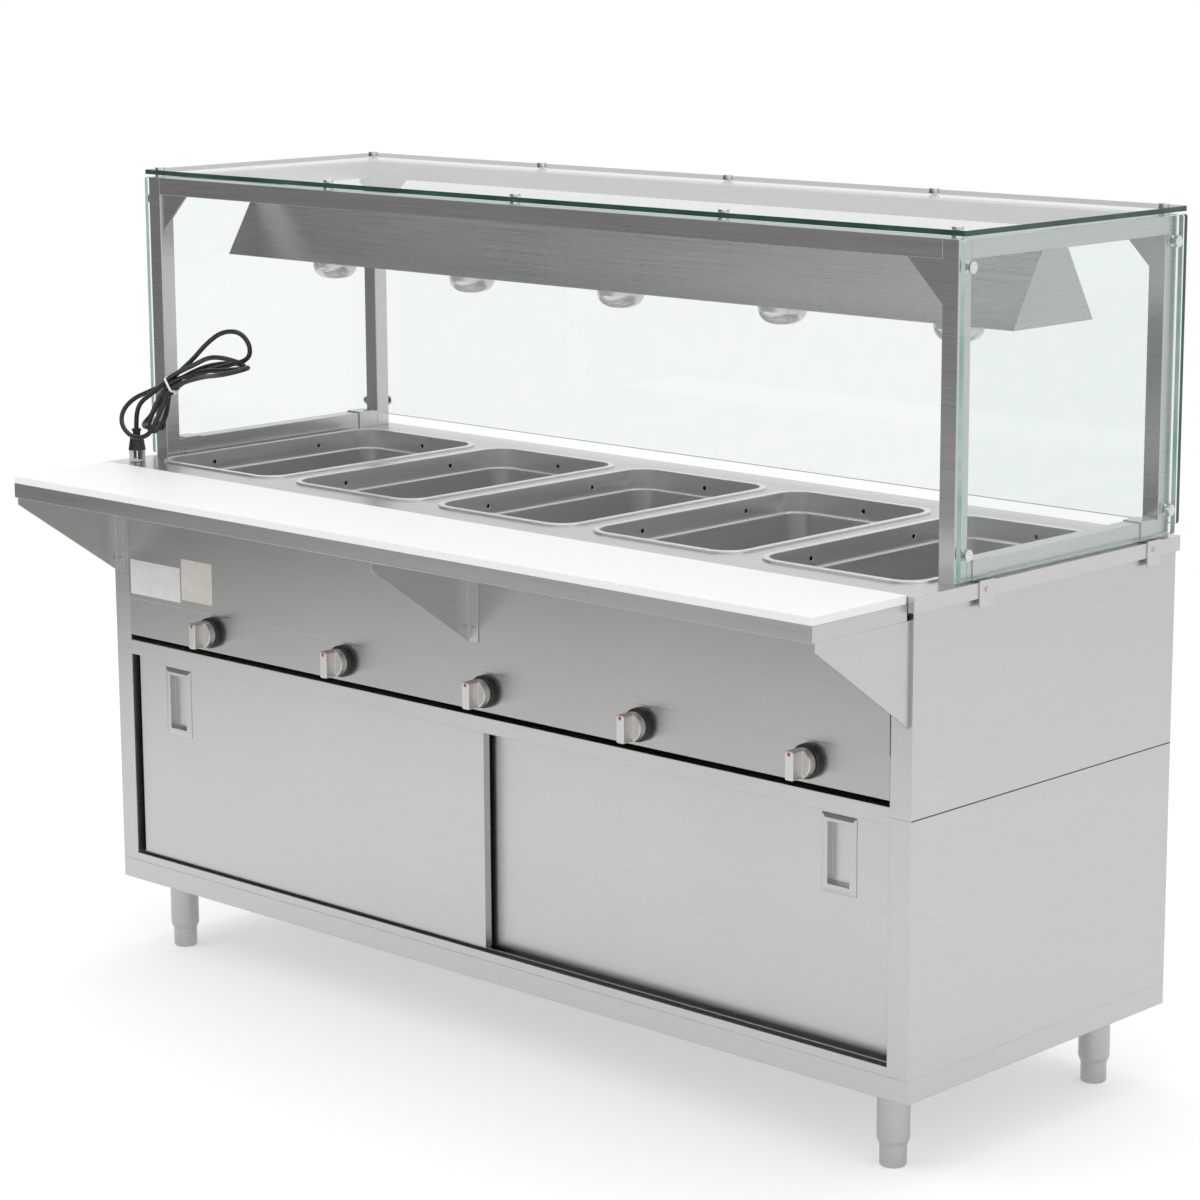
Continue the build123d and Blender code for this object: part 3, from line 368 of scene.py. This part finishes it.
# One glass, two edge colours: the green tint is the glass's own, the dark and pale versions are painted
# shade and painted light
edgeLooks = {
    "shadedGlassEdge": {"dark": (0.012, 0.05, 0.038), "light": (0.03, 0.09, 0.07)},
    "litGlassEdge": {"dark": (0.25, 0.42, 0.37), "light": (0.45, 0.6, 0.55)},
}


def glassFaces(name, look):
    material, tree = newMaterial(name)
    coords = tree.nodes.new("ShaderNodeTexCoord")
    noise = addNode(tree, "ShaderNodeTexNoise", inputs={"Scale": look["wave"], "Detail": look["waveDetail"]})
    tree.links.new(coords.outputs["Object"], noise.inputs["Vector"])
    clear = tree.nodes.new("ShaderNodeBsdfTransparent")
    tint = list(look["tint"]) + [1.0]
    tree.links.new(
        mixColours(
            tree, mapRange(tree, noise.outputs["Fac"], *look["waveSpread"], 0.0, look["waveShare"]),
            tint, grey(1.0),
        ),
        clear.inputs["Color"],
    )
    shine = addNode(tree, "ShaderNodeBsdfGlossy", inputs={"Roughness": look["faceRough"]})
    fresnel = addNode(tree, "ShaderNodeFresnel", inputs={"IOR": look["ior"]})
    facing = tree.nodes.new("ShaderNodeNewGeometry")
    outside = mathNode(tree, "SUBTRACT", 1.0, facing.outputs["Backfacing"])
    slanted = mathNode(tree, "MULTIPLY", fresnel.outputs[0], outside)
    share = mathNode(tree, "MULTIPLY", slanted, look["shine"])
    mix = tree.nodes.new("ShaderNodeMixShader")
    tree.links.new(share, mix.inputs[0])
    tree.links.new(clear.outputs[0], mix.inputs[1])
    tree.links.new(shine.outputs[0], mix.inputs[2])
    out = tree.nodes.new("ShaderNodeOutputMaterial")
    tree.links.new(mix.outputs[0], out.inputs["Surface"])
    return material


def glassEdges(name, edge, look):
    material, tree = newMaterial(name)
    coords = tree.nodes.new("ShaderNodeTexCoord")
    noise = addNode(
        tree, "ShaderNodeTexNoise", inputs={"Scale": look["edgeNoise"], "Detail": look["edgeDetail"]}
    )
    tree.links.new(coords.outputs["Object"], noise.inputs["Vector"])
    shader = tree.nodes.new("ShaderNodeBsdfPrincipled")
    colour = mixColours(
        tree, mapRange(tree, noise.outputs["Fac"], *look["edgeSpread"], 0.0, 1.0),
        list(edge["dark"]) + [1.0], list(edge["light"]) + [1.0],
    )
    tree.links.new(colour, shader.inputs["Base Color"])
    shader.inputs["Roughness"].default_value = look["edgeRough"]
    out = tree.nodes.new("ShaderNodeOutputMaterial")
    tree.links.new(shader.outputs[0], out.inputs["Surface"])
    return material


clearGlass = glassFaces("clearGlass", glassLook)
edges = {name: glassEdges(name, edge, glassLook) for name, edge in edgeLooks.items()}


def paint(name, material):
    mesh = nodes[name].data
    mesh.materials.clear()
    mesh.materials.append(material)


def paintPane(name, thinAxis, edge):
    mesh = nodes[name].data
    mesh.materials.clear()
    mesh.materials.append(clearGlass)
    mesh.materials.append(edge)
    for polygon in mesh.polygons:
        isFace = abs(polygon.normal[thinAxis]) > glassLook["faceFrom"]
        polygon.material_index = 0 if isFace else 1


slotMaterials = {
    "cabinet_steel": steels["cabinetSteel"],
    "counter_steel": steels["counterSteel"],
    "well_steel": steels["litWellSteel"],
    "hood_steel": steels["hoodSteel"],
    "frame_steel": steels["frameSteel"],
    "leg_steel": steels["legSteel"],
    "knob_metal": steels["knobSteel"],
    "standoff_metal": plain["standoffMetal"],
    "board_plastic": plain["boardPlastic"],
    "black_plastic": plain["blackPlastic"],
    "ceramic_white": plain["whiteCeramic"],
    "element_metal": plain["elementSheath"],
    "cord_rubber": plain["cordRubber"],
    "tie_plastic": plain["tiePlastic"],
}
for part in frame["record"]["subparts"]:
    if part["material_slot"] in slotMaterials:
        paint(part["node"], slotMaterials[part["material_slot"]])
# The control panel gets the darker steel copy, with the shelf's shade painted into its colour
paint("control_panel", steels["shadedPanelSteel"])
for paneName, thinAxis, edgeName in (
    ("top_glass", 2, "shadedGlassEdge"), ("back_glass", 1, "shadedGlassEdge"),
    ("end_glass_left", 0, "litGlassEdge"), ("end_glass_right", 0, "litGlassEdge"),
):
    paintPane(paneName, thinAxis, edges[edgeName])
print("materials made")

# Lamps: a silvery moulded lens that lets a little light through
lampLook = {
    "glass": (0.9, 0.91, 0.9), "rough": 0.08, "roughTop": 0.16, "ior": 1.45,
    "metallic": 0.35, "clear": 0.25, "scale": 220.0, "detail": 2.0, "spread": (0.3, 0.7),
}


def lampGlass(look):
    material, tree = newMaterial("lampGlass")
    coords = tree.nodes.new("ShaderNodeTexCoord")
    noise = addNode(tree, "ShaderNodeTexNoise", inputs={"Scale": look["scale"], "Detail": look["detail"]})
    tree.links.new(coords.outputs["Object"], noise.inputs["Vector"])
    shader = addNode(
        tree, "ShaderNodeBsdfPrincipled",
        inputs={"Metallic": look["metallic"], "Transmission Weight": look["clear"], "IOR": look["ior"]},
    )
    shader.inputs["Base Color"].default_value = list(look["glass"]) + [1.0]
    rough = mapRange(tree, noise.outputs["Fac"], *look["spread"], look["rough"], look["roughTop"])
    tree.links.new(rough, shader.inputs["Roughness"])
    out = tree.nodes.new("ShaderNodeOutputMaterial")
    tree.links.new(shader.outputs[0], out.inputs["Surface"])
    return material


paint("heat_bulbs", lampGlass(lampLook))

# Prong cover: thin clear plastic with a painted pale sheen where it is seen at a slant
coverLook = {
    "tint": (0.93, 0.94, 0.95), "rim": (0.75, 0.77, 0.78), "share": 0.45,
    "scale": 240.0, "detail": 2.0, "spread": (0.3, 0.7), "roughLow": 0.12, "roughHigh": 0.22,
}


def coverPlastic(look):
    material, tree = newMaterial("clearCover")
    coords = tree.nodes.new("ShaderNodeTexCoord")
    noise = addNode(tree, "ShaderNodeTexNoise", inputs={"Scale": look["scale"], "Detail": look["detail"]})
    tree.links.new(coords.outputs["Object"], noise.inputs["Vector"])
    clear = addNode(tree, "ShaderNodeBsdfTransparent", inputs={"Color": [*look["tint"], 1.0]})
    paintedSheen = addNode(tree, "ShaderNodeBsdfPrincipled", inputs={"Base Color": [*look["rim"], 1.0]})
    rough = mapRange(tree, noise.outputs["Fac"], *look["spread"], look["roughLow"], look["roughHigh"])
    tree.links.new(rough, paintedSheen.inputs["Roughness"])
    # Painted sheen: the pale colour takes over the more slanted the view
    slant = addNode(tree, "ShaderNodeLayerWeight", inputs={"Blend": look["share"]})
    mix = tree.nodes.new("ShaderNodeMixShader")
    tree.links.new(slant.outputs["Facing"], mix.inputs[0])
    tree.links.new(clear.outputs[0], mix.inputs[1])
    tree.links.new(paintedSheen.outputs[0], mix.inputs[2])
    out = tree.nodes.new("ShaderNodeOutputMaterial")
    tree.links.new(mix.outputs[0], out.inputs["Surface"])
    return material


paint("plug_cover", coverPlastic(coverLook))

# Pointer dots: a low red dome at the top of each knob's bar, which turns with it
dotLook = {"radius": 0.0032, "rise": 0.0006, "fromTop": 0.0055, "rings": 4, "spokes": 24}


def makeDot(knobName, look):
    low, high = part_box(knobName)
    middle = ((low[0] + high[0]) / 2, low[1], high[2] - look["fromTop"])
    mesh = bmesh.new()
    crown = mesh.verts.new((middle[0], middle[1] - look["rise"], middle[2]))
    rings = []
    for ring in range(1, look["rings"] + 1):
        share = ring / look["rings"]
        rings.append([
            mesh.verts.new((
                middle[0] + look["radius"] * share * math.cos(2 * math.pi * k / look["spokes"]),
                middle[1] - look["rise"] * (1.0 - share * share),
                middle[2] + look["radius"] * share * math.sin(2 * math.pi * k / look["spokes"]),
            ))
            for k in range(look["spokes"])
        ])
    for k in range(look["spokes"]):
        after = (k + 1) % look["spokes"]
        mesh.faces.new((crown, rings[0][k], rings[0][after]))
        for inner, outer in zip(rings, rings[1:]):
            mesh.faces.new((inner[k], outer[k], outer[after], inner[after]))
    data = bpy.data.meshes.new(knobName + "Dot")
    mesh.to_mesh(data)
    mesh.free()
    data.materials.append(plain["redDot"])
    dot = bpy.data.objects.new(knobName + "Dot", data)
    scene.collection.objects.link(dot)
    for polygon in data.polygons:
        polygon.use_smooth = True
    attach(dot, knobName)


for number in range(1, 6):
    makeDot("knob_%d" % number, dotLook)

# Blank plates: two thin ones on the left end of the upper box's front
plateLooks = {
    "whitePlate": {"left": -0.868, "right": -0.730, "bottom": 0.6665, "top": 0.7290,
                   "finish": "whiteFilm"},
    "creamPlate": {"left": -0.7265, "right": -0.6430, "bottom": 0.6730, "top": 0.7470,
                   "finish": "creamFilm"},
}
plateShape = {"thickness": 0.0003, "gap": 0.00002, "corner": 0.002, "steps": 4}


def makePlate(name, look, shape):
    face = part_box("control_panel")[0][1]
    mesh = bmesh.new()
    outline = []
    for x, z, start in (
        (look["right"] - shape["corner"], look["top"] - shape["corner"], 0),
        (look["left"] + shape["corner"], look["top"] - shape["corner"], 1),
        (look["left"] + shape["corner"], look["bottom"] + shape["corner"], 2),
        (look["right"] - shape["corner"], look["bottom"] + shape["corner"], 3),
    ):
        for step in range(shape["steps"] + 1):
            turn = math.pi / 2 * (start + step / shape["steps"])
            outline.append((x + shape["corner"] * math.cos(turn), z + shape["corner"] * math.sin(turn)))
    back = [mesh.verts.new((x, face - shape["gap"], z)) for x, z in outline]
    front = [mesh.verts.new((x, face - shape["thickness"], z)) for x, z in outline]
    mesh.faces.new(front)
    mesh.faces.new(list(reversed(back)))
    for k in range(len(outline)):
        after = (k + 1) % len(outline)
        mesh.faces.new((back[k], back[after], front[after], front[k]))
    bmesh.ops.recalc_face_normals(mesh, faces=mesh.faces)
    data = bpy.data.meshes.new(name)
    mesh.to_mesh(data)
    mesh.free()
    data.materials.append(plain[look["finish"]])
    plate = bpy.data.objects.new(name, data)
    scene.collection.objects.link(plate)
    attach(plate, "cabinet")


for plateName, plateLook in plateLooks.items():
    makePlate(plateName, plateLook, plateShape)
print("small pieces made")

# Power cord: from the left post it is folded back and forth through its tie and ends in the plug
cordLook = {
    "length": 2.372, "diameter": 0.0084, "exit": (-0.895, -0.131, 0.956),
    "roundness": 5, "steps": 10, "order": 3,
}
cordRoute = (
    (-0.8950, -0.1310, 0.9560),
    (-0.8950, -0.1550, 0.9560),
    (-0.8862, -0.1704, 0.9645),
    (-0.8472, -0.1823, 0.9854),
    (-0.8327, -0.1721, 1.0102),
    (-0.8111, -0.1612, 1.0287),
    (-0.7887, -0.1612, 1.0455),
    (-0.7243, -0.1550, 1.0741),
    (-0.6560, -0.1528, 1.0915),
    (-0.6076, -0.1537, 1.1046),
    (-0.5977, -0.1599, 1.1318),
    (-0.6155, -0.1682, 1.1540),
    (-0.6588, -0.1713, 1.1503),
    (-0.7027, -0.1690, 1.1267),
    (-0.7497, -0.1650, 1.0914),
    (-0.8002, -0.1612, 1.0608),
    (-0.8226, -0.1612, 1.0440),
    (-0.8720, -0.1650, 1.0251),
    (-0.9083, -0.1741, 1.0093),
    (-0.9225, -0.1886, 0.9855),
    (-0.9063, -0.2017, 0.9615),
    (-0.8580, -0.2143, 0.9470),
    (-0.8193, -0.2109, 0.9552),
    (-0.8092, -0.2005, 0.9837),
    (-0.8156, -0.1798, 1.0068),
    (-0.8111, -0.1708, 1.0287),
    (-0.7887, -0.1708, 1.0455),
    (-0.6851, -0.1960, 1.0715),
    (-0.5821, -0.2401, 1.0878),
    (-0.5576, -0.2209, 1.0952),
    (-0.5633, -0.1895, 1.0982),
    (-0.6132, -0.1695, 1.0887),
    (-0.6689, -0.1674, 1.0807),
    (-0.7087, -0.1748, 1.0778),
    (-0.7945, -0.1708, 1.0532),
    (-0.8169, -0.1708, 1.0364),
    (-0.8236, -0.1870, 1.0133),
    (-0.8257, -0.2030, 0.9828),
    (-0.8461, -0.1889, 0.9589),
    (-0.8573, -0.1624, 0.9542),
    (-0.8584, -0.1409, 0.9737),
    (-0.8469, -0.1421, 1.0033),
    (-0.8169, -0.1612, 1.0364),
    (-0.7945, -0.1612, 1.0532),
    (-0.7490, -0.1410, 1.0776),
    (-0.7138, -0.1290, 1.0857),
    (-0.6725, -0.1304, 1.0903),
    (-0.6199, -0.1507, 1.0896),
    (-0.6113, -0.1753, 1.1011),
    (-0.6285, -0.1962, 1.1098),
    (-0.6675, -0.1962, 1.1072),
    (-0.7225, -0.1810, 1.0883),
    (-0.8002, -0.1708, 1.0608),
    (-0.8226, -0.1708, 1.0440),
    (-0.8475, -0.1810, 1.0239),
    (-0.8689, -0.1885, 1.0080),
    (-0.8820, -0.1880, 0.9840),
    (-0.8820, -0.1880, 0.9600),
)


def makeCord(look, route):
    curve = bpy.data.curves.new("powerCordLine", "CURVE")
    curve.dimensions = "3D"
    curve.bevel_depth = look["diameter"] / 2
    curve.bevel_resolution = look["roundness"]
    curve.resolution_u = look["steps"]
    curve.use_fill_caps = True
    spline = curve.splines.new("NURBS")
    spline.points.add(len(route) - 1)
    for point, place in zip(spline.points, route):
        point.co = (*place, 1.0)
    spline.order_u = look["order"]
    spline.use_endpoint_u = True
    curve.materials.append(plain["cordRubber"])
    cord = bpy.data.objects.new("powerCord", curve)
    scene.collection.objects.link(cord)
    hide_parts("power_cord", "cord_hank")
    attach(cord, "cabinet")


makeCord(cordLook, cordRoute)
print("cord made")

# Light: a white surround with one dim quarter ahead on the left, which the upper front faces mirror
lightLook = {
    "backdrop": 1.0, "diffuse": 0.86,
    "dim": 0.2, "dimAim": (-0.66, -0.73, 0.12), "dimFrom": 0.45, "dimFull": 0.86,
    "key": {"place": (-1.8, -3.6, 3.4), "aim": (0.0, -0.1, 0.7), "size": 2.6, "power": 34.0},
    "fill": {"place": (4.6, -0.6, 2.6), "aim": (0.2, 0.0, 0.7), "size": 2.4, "power": 16.0},
    "top": {"place": (0.0, 0.2, 4.2), "aim": (0.0, 0.0, 0.8), "size": 3.2, "power": 34.0},
}


def makeWorld(look):
    world = bpy.data.worlds.new("studio")
    scene.world = world
    world.use_nodes = True
    tree = world.node_tree
    tree.nodes.clear()
    coords = tree.nodes.new("ShaderNodeTexCoord")
    toward = tree.nodes.new("ShaderNodeVectorMath")
    toward.operation = "DOT_PRODUCT"
    tree.links.new(coords.outputs["Object"], toward.inputs[0])
    toward.inputs[1].default_value = Vector(look["dimAim"]).normalized()
    dimShare = mapRange(tree, toward.outputs["Value"], look["dimFrom"], look["dimFull"], 0.0, 1.0)
    white, dim, even = (grey(look[name]) for name in ("backdrop", "dim", "diffuse"))
    mirrored = addNode(tree, "ShaderNodeBackground")
    tree.links.new(mixColours(tree, dimShare, white, dim), mirrored.inputs["Color"])
    seen = addNode(tree, "ShaderNodeBackground", inputs={"Color": white})
    lit = addNode(tree, "ShaderNodeBackground", inputs={"Color": even})
    path = tree.nodes.new("ShaderNodeLightPath")
    direct = mathNode(tree, "MAXIMUM", path.outputs["Is Camera Ray"], path.outputs["Is Transmission Ray"])
    surround = tree.nodes.new("ShaderNodeMixShader")
    tree.links.new(path.outputs["Is Glossy Ray"], surround.inputs[0])
    tree.links.new(lit.outputs[0], surround.inputs[1])
    tree.links.new(mirrored.outputs[0], surround.inputs[2])
    mix = tree.nodes.new("ShaderNodeMixShader")
    tree.links.new(direct, mix.inputs[0])
    tree.links.new(surround.outputs[0], mix.inputs[1])
    tree.links.new(seen.outputs[0], mix.inputs[2])
    out = tree.nodes.new("ShaderNodeOutputWorld")
    tree.links.new(mix.outputs[0], out.inputs["Surface"])


def makeLight(name, look):
    data = bpy.data.lights.new(name, "AREA")
    data.shape = "SQUARE"
    data.size = look["size"]
    data.energy = look["power"]
    light = bpy.data.objects.new(name, data)
    scene.collection.objects.link(light)
    place = Vector(look["place"])
    light.rotation_mode = "QUATERNION"
    light.location = place
    light.rotation_quaternion = (Vector(look["aim"]) - place).to_track_quat("-Z", "Y")
    light.visible_camera = False


# Floor: white to the camera where nothing shades it, with the object's own soft shadow kept
floorLook = {"reach": 3.3, "colour": 0.7, "change": 0.01, "scale": 2.0, "detail": 2.0, "lift": 0.4}


def makeFloor(look):
    mesh = bmesh.new()
    reach = look["reach"]
    corners = ((-reach, -reach), (reach, -reach), (reach, reach), (-reach, reach))
    mesh.faces.new([mesh.verts.new((x, y, 0.0)) for x, y in corners])
    data = bpy.data.meshes.new("floor")
    mesh.to_mesh(data)
    mesh.free()
    material, tree = newMaterial("floorWhite")
    coords = tree.nodes.new("ShaderNodeTexCoord")
    noise = addNode(tree, "ShaderNodeTexNoise", inputs={"Scale": look["scale"], "Detail": look["detail"]})
    tree.links.new(coords.outputs["Object"], noise.inputs["Vector"])
    matte = tree.nodes.new("ShaderNodeBsdfDiffuse")
    darker, paler = (grey(look["colour"] * share) for share in (1.0 - look["change"], 1.0 + look["change"]))
    tree.links.new(mixColours(tree, noise.outputs["Fac"], darker, paler), matte.inputs["Color"])
    path = tree.nodes.new("ShaderNodeLightPath")
    seen = mathNode(tree, "MAXIMUM", path.outputs["Is Camera Ray"], path.outputs["Is Glossy Ray"])
    seen = mathNode(tree, "MAXIMUM", seen, path.outputs["Is Transmission Ray"])
    glow = tree.nodes.new("ShaderNodeEmission")
    tree.links.new(mathNode(tree, "MULTIPLY", seen, look["lift"]), glow.inputs["Strength"])
    both = tree.nodes.new("ShaderNodeAddShader")
    tree.links.new(matte.outputs[0], both.inputs[0])
    tree.links.new(glow.outputs[0], both.inputs[1])
    out = tree.nodes.new("ShaderNodeOutputMaterial")
    tree.links.new(both.outputs[0], out.inputs["Surface"])
    data.materials.append(material)
    floor = bpy.data.objects.new("floor", data)
    scene.collection.objects.link(floor)


makeFloor(floorLook)
makeWorld(lightLook)
for lightName in ("key", "fill", "top"):
    makeLight(lightName + "Light", lightLook[lightName])
scene.view_settings.view_transform = "Standard"
print("light made")

saveSize()
